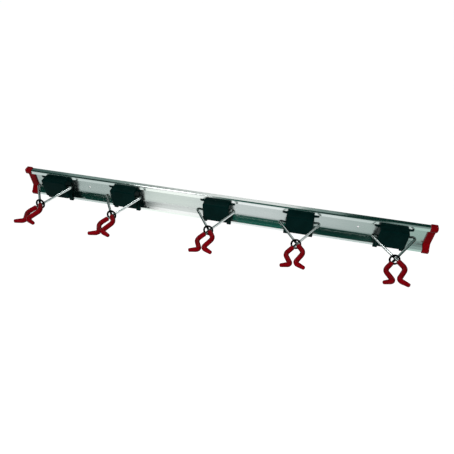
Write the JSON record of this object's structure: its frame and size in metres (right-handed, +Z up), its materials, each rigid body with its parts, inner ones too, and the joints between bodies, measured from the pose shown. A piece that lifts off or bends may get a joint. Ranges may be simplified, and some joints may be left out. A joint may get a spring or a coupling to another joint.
{
  "type": "garden tool rack",
  "caption": "Wall-mounted aluminium rail with red end caps and sliding black holders, each gripping a tool handle between crossed wire arms with red sleeved jaws.",
  "frame": {"origin": "centre of the rail's flat back, which lies on the wall", "axes": "+X along the rail to the viewer's right, +Y into the wall, +Z up"},
  "size_m": [1.008, 0.1731, 0.0732],
  "materials": {
    "rail_aluminium": "satin anodised",
    "cap_plastic": "moulded red",
    "housing_plastic": "moulded black",
    "screw_steel": "zinc plated",
    "wire_zinc": "bright zinc plated",
    "sleeve_vinyl": "dipped red vinyl",
    "ring_rubber": "matt black"
  },
  "bodies": {
    "rail": {"rail": "rail_aluminium", "end_cap_left": "cap_plastic", "end_cap_right": "cap_plastic"},
    "slider_1": {"slider_base_1": "housing_plastic", "front_cover_1": "housing_plastic", "screw_left_1": "screw_steel", "screw_right_1": "screw_steel"},
    "arm_left_1": {"wire_left_1": "wire_zinc", "sleeve_left_1": "sleeve_vinyl"},
    "arm_right_1": {"wire_right_1": "wire_zinc", "sleeve_right_1": "sleeve_vinyl"},
    "ring_1": {"ring_1": "ring_rubber"},
    "slider_2": {"slider_base_2": "housing_plastic", "front_cover_2": "housing_plastic", "screw_left_2": "screw_steel", "screw_right_2": "screw_steel"},
    "arm_left_2": {"wire_left_2": "wire_zinc", "sleeve_left_2": "sleeve_vinyl"},
    "arm_right_2": {"wire_right_2": "wire_zinc", "sleeve_right_2": "sleeve_vinyl"},
    "ring_2": {"ring_2": "ring_rubber"},
    "slider_3": {"slider_base_3": "housing_plastic", "front_cover_3": "housing_plastic", "screw_left_3": "screw_steel", "screw_right_3": "screw_steel"},
    "arm_left_3": {"wire_left_3": "wire_zinc", "sleeve_left_3": "sleeve_vinyl"},
    "arm_right_3": {"wire_right_3": "wire_zinc", "sleeve_right_3": "sleeve_vinyl"},
    "ring_3": {"ring_3": "ring_rubber"},
    "slider_4": {"slider_base_4": "housing_plastic", "front_cover_4": "housing_plastic", "screw_left_4": "screw_steel", "screw_right_4": "screw_steel"},
    "arm_left_4": {"wire_left_4": "wire_zinc", "sleeve_left_4": "sleeve_vinyl"},
    "arm_right_4": {"wire_right_4": "wire_zinc", "sleeve_right_4": "sleeve_vinyl"},
    "ring_4": {"ring_4": "ring_rubber"},
    "slider_5": {"slider_base_5": "housing_plastic", "front_cover_5": "housing_plastic", "screw_left_5": "screw_steel", "screw_right_5": "screw_steel"},
    "arm_left_5": {"wire_left_5": "wire_zinc", "sleeve_left_5": "sleeve_vinyl"},
    "arm_right_5": {"wire_right_5": "wire_zinc", "sleeve_right_5": "sleeve_vinyl"},
    "ring_5": {"ring_5": "ring_rubber"}
  },
  "joints": [
    {"name": "slide_1", "type": "slide", "parent": "rail", "child": "slider_1", "axis": [1, 0, 0], "range_m": [-0.024, 0.044]},
    {"name": "lift_left_1", "type": "hinge", "parent": "slider_1", "child": "arm_left_1", "pos_m": [-0.465, -0.0235, 0.002], "axis": [-0.9848, 0, 0.1736], "range_deg": [0, 40]},
    {"name": "lift_right_1", "type": "hinge", "parent": "slider_1", "child": "arm_right_1", "pos_m": [-0.375, -0.0235, 0.011], "axis": [-0.9848, 0, -0.1736], "range_deg": [0, 40]},
    {"name": "ring_swing_1", "type": "hinge", "parent": "slider_1", "child": "ring_1", "pos_m": [-0.42, -0.028, -0.014], "axis": [-1, 0, 0], "range_deg": [0, 40]},
    {"name": "slide_2", "type": "slide", "parent": "rail", "child": "slider_2", "axis": [1, 0, 0], "range_m": [-0.044, 0.069]},
    {"name": "lift_left_2", "type": "hinge", "parent": "slider_2", "child": "arm_left_2", "pos_m": [-0.279, -0.0235, 0.002], "axis": [-0.9848, 0, 0.1736], "range_deg": [0, 40]},
    {"name": "lift_right_2", "type": "hinge", "parent": "slider_2", "child": "arm_right_2", "pos_m": [-0.189, -0.0235, 0.011], "axis": [-0.9848, 0, -0.1736], "range_deg": [0, 40]},
    {"name": "ring_swing_2", "type": "hinge", "parent": "slider_2", "child": "ring_2", "pos_m": [-0.234, -0.028, -0.014], "axis": [-1, 0, 0], "range_deg": [0, 40]},
    {"name": "slide_3", "type": "slide", "parent": "rail", "child": "slider_3", "axis": [1, 0, 0], "range_m": [-0.069, 0.051]},
    {"name": "lift_left_3", "type": "hinge", "parent": "slider_3", "child": "arm_left_3", "pos_m": [-0.042, -0.0235, 0.002], "axis": [-0.9848, 0, 0.1736], "range_deg": [0, 40]},
    {"name": "lift_right_3", "type": "hinge", "parent": "slider_3", "child": "arm_right_3", "pos_m": [0.048, -0.0235, 0.011], "axis": [-0.9848, 0, -0.1736], "range_deg": [0, 40]},
    {"name": "ring_swing_3", "type": "hinge", "parent": "slider_3", "child": "ring_3", "pos_m": [0.003, -0.028, -0.014], "axis": [-1, 0, 0], "range_deg": [0, 40]},
    {"name": "slide_4", "type": "slide", "parent": "rail", "child": "slider_4", "axis": [1, 0, 0], "range_m": [-0.051, 0.056]},
    {"name": "lift_left_4", "type": "hinge", "parent": "slider_4", "child": "arm_left_4", "pos_m": [0.1583, -0.0235, 0.002], "axis": [-0.9848, 0, 0.1736], "range_deg": [0, 40]},
    {"name": "lift_right_4", "type": "hinge", "parent": "slider_4", "child": "arm_right_4", "pos_m": [0.2483, -0.0235, 0.011], "axis": [-0.9848, 0, -0.1736], "range_deg": [0, 40]},
    {"name": "ring_swing_4", "type": "hinge", "parent": "slider_4", "child": "ring_4", "pos_m": [0.2033, -0.028, -0.014], "axis": [-1, 0, 0], "range_deg": [0, 40]},
    {"name": "slide_5", "type": "slide", "parent": "rail", "child": "slider_5", "axis": [1, 0, 0], "range_m": [-0.056, 0.03]},
    {"name": "lift_left_5", "type": "hinge", "parent": "slider_5", "child": "arm_left_5", "pos_m": [0.369, -0.0235, 0.002], "axis": [-0.9848, 0, 0.1736], "range_deg": [0, 40]},
    {"name": "lift_right_5", "type": "hinge", "parent": "slider_5", "child": "arm_right_5", "pos_m": [0.459, -0.0235, 0.011], "axis": [-0.9848, 0, -0.1736], "range_deg": [0, 40]},
    {"name": "ring_swing_5", "type": "hinge", "parent": "slider_5", "child": "ring_5", "pos_m": [0.414, -0.028, -0.014], "axis": [-1, 0, 0], "range_deg": [0, 40]}
  ],
  "couplings": [
    {"joint": "lift_right_1", "follows": "lift_left_1", "ratio": 1},
    {"joint": "ring_swing_1", "follows": "lift_left_1", "ratio": 1},
    {"joint": "lift_right_2", "follows": "lift_left_2", "ratio": 1},
    {"joint": "ring_swing_2", "follows": "lift_left_2", "ratio": 1},
    {"joint": "lift_right_3", "follows": "lift_left_3", "ratio": 1},
    {"joint": "ring_swing_3", "follows": "lift_left_3", "ratio": 1},
    {"joint": "lift_right_4", "follows": "lift_left_4", "ratio": 1},
    {"joint": "ring_swing_4", "follows": "lift_left_4", "ratio": 1},
    {"joint": "lift_right_5", "follows": "lift_left_5", "ratio": 1},
    {"joint": "ring_swing_5", "follows": "lift_left_5", "ratio": 1}
  ]
}
